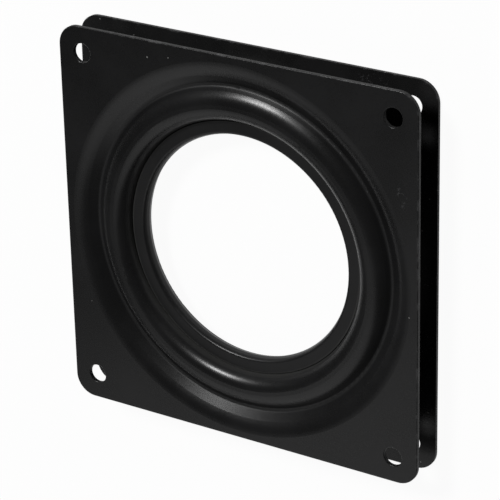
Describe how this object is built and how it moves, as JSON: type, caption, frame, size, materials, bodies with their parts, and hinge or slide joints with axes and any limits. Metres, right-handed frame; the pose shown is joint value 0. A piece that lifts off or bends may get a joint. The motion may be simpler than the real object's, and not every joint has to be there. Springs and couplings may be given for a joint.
{
  "type": "turntable bearing",
  "caption": "Square turntable bearing: pressed steel plates turn on a ring of balls round a wide opening, with a screw hole at each corner.",
  "frame": {"origin": "centre of the underside: the turning axis where it meets the lower plate's mounting face", "axes": "+Z along the turning axis, from the lower plate to the upper one; X and Y along the plates' sides"},
  "size_m": [0.15, 0.15, 0.015],
  "materials": {
    "plate_paint": "satin",
    "ring_paint": "satin",
    "ball_steel": "polished"
  },
  "bodies": {
    "base": {"bottom_plate": "plate_paint", "retaining_ring": "ring_paint"},
    "turning_plate": {"top_plate": "plate_paint"},
    "ball_ring": {"ball_01": "ball_steel", "ball_02": "ball_steel", "ball_03": "ball_steel", "ball_04": "ball_steel", "ball_05": "ball_steel", "ball_06": "ball_steel", "ball_07": "ball_steel", "ball_08": "ball_steel", "ball_09": "ball_steel", "ball_10": "ball_steel", "ball_11": "ball_steel", "ball_12": "ball_steel", "ball_13": "ball_steel", "ball_14": "ball_steel", "ball_15": "ball_steel", "ball_16": "ball_steel", "ball_17": "ball_steel", "ball_18": "ball_steel", "ball_19": "ball_steel", "ball_20": "ball_steel", "ball_21": "ball_steel", "ball_22": "ball_steel", "ball_23": "ball_steel", "ball_24": "ball_steel", "ball_25": "ball_steel", "ball_26": "ball_steel", "ball_27": "ball_steel", "ball_28": "ball_steel", "ball_29": "ball_steel", "ball_30": "ball_steel", "ball_31": "ball_steel"}
  },
  "joints": [
    {"name": "plate_turn", "type": "hinge", "parent": "base", "child": "turning_plate", "pos_m": [0, 0, 0.0075], "axis": [0, 0, 1], "continuous": true},
    {"name": "ball_roll", "type": "hinge", "parent": "base", "child": "ball_ring", "pos_m": [0, 0, 0.0075], "axis": [0, 0, 1], "continuous": true}
  ],
  "couplings": [
    {"joint": "ball_roll", "follows": "plate_turn", "ratio": 0.5}
  ]
}
